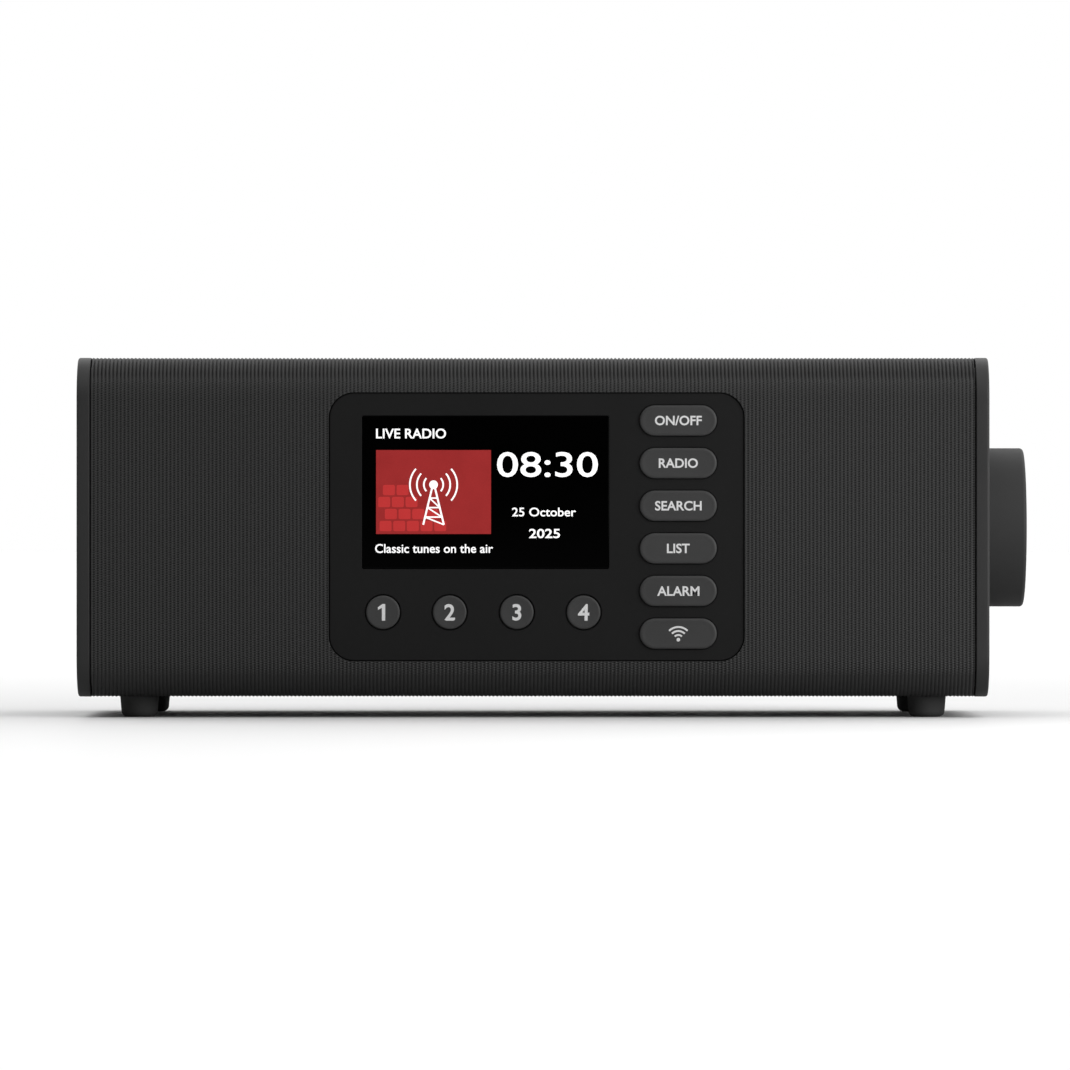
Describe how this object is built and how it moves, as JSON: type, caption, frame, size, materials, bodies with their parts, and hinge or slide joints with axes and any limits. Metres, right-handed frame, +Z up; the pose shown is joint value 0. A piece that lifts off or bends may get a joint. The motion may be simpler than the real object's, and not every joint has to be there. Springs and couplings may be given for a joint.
{
  "type": "tabletop radio",
  "caption": "Tabletop radio with a ribbed wrap-around grille, display, round preset keys, pill-shaped function keys, a side volume knob and a folded telescopic aerial.",
  "frame": {"origin": "bottom centre of the whole radio's box, under the feet", "axes": "+X to the radio's right seen from the front, towards the knob; +Y to the rear; +Z up. The front faces -Y."},
  "size_m": [0.287, 0.1274, 0.1083],
  "materials": {
    "grille": "black ribbed, satin ribs",
    "cap": "smooth matt black",
    "panel": "fine matt black",
    "key": "matt dark grey",
    "window": "polished black",
    "lcd": "polarised film",
    "foot": "matt",
    "silicone": "translucent grey",
    "board": "solder resist",
    "can": "tin plated",
    "heatsink": "extruded",
    "black_plastic": "moulded",
    "chrome": "polished",
    "steel": "plated",
    "cone": "coated paper",
    "surround": "soft",
    "magnet": "ferrite with plated plates",
    "wire": "insulation",
    "ribbon": "grey insulation"
  },
  "bodies": {
    "cabinet": {"grille_sleeve": "grille", "left_end_cap": "cap", "right_end_cap": "cap", "rear_cover": "cap", "control_panel": "panel", "display_window": "window", "display_panel": "lcd", "display_frame": "can", "preset_key_mat": "silicone", "function_key_mat": "silicone", "control_board": "board", "speaker_baffle": "black_plastic", "main_board": "board", "tuner_module": "can", "amplifier_heatsink": "heatsink", "power_jack": "black_plastic", "aux_jack": "black_plastic", "headphone_jack": "black_plastic", "control_ribbon_cable": "ribbon", "left_speaker_wire": "wire", "right_speaker_wire": "wire", "encoder_board": "board", "encoder_body": "steel", "encoder_nut": "steel", "aerial_base": "black_plastic", "left_speaker_basket": "black_plastic", "left_speaker_surround": "surround", "left_speaker_magnet": "magnet", "front_left_foot": "foot", "rear_left_foot": "foot", "right_speaker_basket": "black_plastic", "right_speaker_surround": "surround", "right_speaker_magnet": "magnet", "front_right_foot": "foot", "rear_right_foot": "foot", "rear_cover_screw_1": "steel", "rear_cover_screw_2": "steel", "rear_cover_screw_3": "steel", "rear_cover_screw_4": "steel"},
    "preset_key_1": {"preset_key_1": "key"},
    "preset_key_2": {"preset_key_2": "key"},
    "preset_key_3": {"preset_key_3": "key"},
    "preset_key_4": {"preset_key_4": "key"},
    "power_key": {"power_key": "key"},
    "radio_key": {"radio_key": "key"},
    "search_key": {"search_key": "key"},
    "list_key": {"list_key": "key"},
    "alarm_key": {"alarm_key": "key"},
    "wireless_key": {"wireless_key": "key"},
    "left_cone": {"left_speaker_cone": "cone"},
    "right_cone": {"right_speaker_cone": "cone"},
    "plunger": {"encoder_plunger": "key"},
    "knob": {"volume_knob": "cap", "encoder_shaft": "steel"},
    "aerial_swivel": {"aerial_swivel": "chrome", "aerial_pin": "steel"},
    "aerial_mast": {"aerial_mast_tube": "chrome"},
    "aerial_second": {"aerial_section_2": "chrome"},
    "aerial_third": {"aerial_section_3": "chrome"},
    "aerial_tip": {"aerial_tip_section": "chrome"}
  },
  "joints": [
    {"name": "preset_key_1_press", "type": "slide", "parent": "cabinet", "child": "preset_key_1", "axis": [0, 1, 0], "range_m": [0, 0.0007], "stiffness_N_per_m": 1500},
    {"name": "preset_key_2_press", "type": "slide", "parent": "cabinet", "child": "preset_key_2", "axis": [0, 1, 0], "range_m": [0, 0.0007], "stiffness_N_per_m": 1500},
    {"name": "preset_key_3_press", "type": "slide", "parent": "cabinet", "child": "preset_key_3", "axis": [0, 1, 0], "range_m": [0, 0.0007], "stiffness_N_per_m": 1500},
    {"name": "preset_key_4_press", "type": "slide", "parent": "cabinet", "child": "preset_key_4", "axis": [0, 1, 0], "range_m": [0, 0.0007], "stiffness_N_per_m": 1500},
    {"name": "power_key_press", "type": "slide", "parent": "cabinet", "child": "power_key", "axis": [0, 1, 0], "range_m": [0, 0.0007], "stiffness_N_per_m": 1500},
    {"name": "radio_key_press", "type": "slide", "parent": "cabinet", "child": "radio_key", "axis": [0, 1, 0], "range_m": [0, 0.0007], "stiffness_N_per_m": 1500},
    {"name": "search_key_press", "type": "slide", "parent": "cabinet", "child": "search_key", "axis": [0, 1, 0], "range_m": [0, 0.0007], "stiffness_N_per_m": 1500},
    {"name": "list_key_press", "type": "slide", "parent": "cabinet", "child": "list_key", "axis": [0, 1, 0], "range_m": [0, 0.0007], "stiffness_N_per_m": 1500},
    {"name": "alarm_key_press", "type": "slide", "parent": "cabinet", "child": "alarm_key", "axis": [0, 1, 0], "range_m": [0, 0.0007], "stiffness_N_per_m": 1500},
    {"name": "wireless_key_press", "type": "slide", "parent": "cabinet", "child": "wireless_key", "axis": [0, 1, 0], "range_m": [0, 0.0007], "stiffness_N_per_m": 1500},
    {"name": "left_cone_stroke", "type": "slide", "parent": "cabinet", "child": "left_cone", "axis": [0, 1, 0], "range_m": [-0.001, 0.001], "stiffness_N_per_m": 1500},
    {"name": "right_cone_stroke", "type": "slide", "parent": "cabinet", "child": "right_cone", "axis": [0, 1, 0], "range_m": [-0.001, 0.001], "stiffness_N_per_m": 1500},
    {"name": "knob_push", "type": "slide", "parent": "cabinet", "child": "plunger", "axis": [-1, 0, 0], "range_m": [0, 0.0005], "stiffness_N_per_m": 4000},
    {"name": "knob_turn", "type": "hinge", "parent": "plunger", "child": "knob", "pos_m": [0.1305, -0.0084, 0.05725], "axis": [1, 0, 0], "continuous": true},
    {"name": "aerial_swivel_turn", "type": "hinge", "parent": "cabinet", "child": "aerial_swivel", "pos_m": [0.0935, 0.0566, 0.084], "axis": [0, 1, 0], "range_deg": [0, 180]},
    {"name": "aerial_tilt", "type": "hinge", "parent": "aerial_swivel", "child": "aerial_mast", "pos_m": [0.0935, 0.0608, 0.084], "axis": [0, 0, -1], "range_deg": [0, 90]},
    {"name": "aerial_second_extend", "type": "slide", "parent": "aerial_mast", "child": "aerial_second", "axis": [-1, 0, 0], "range_m": [0, 0.165]},
    {"name": "aerial_third_extend", "type": "slide", "parent": "aerial_second", "child": "aerial_third", "axis": [-1, 0, 0], "range_m": [0, 0.165]},
    {"name": "aerial_tip_extend", "type": "slide", "parent": "aerial_third", "child": "aerial_tip", "axis": [-1, 0, 0], "range_m": [0, 0.165]}
  ]
}
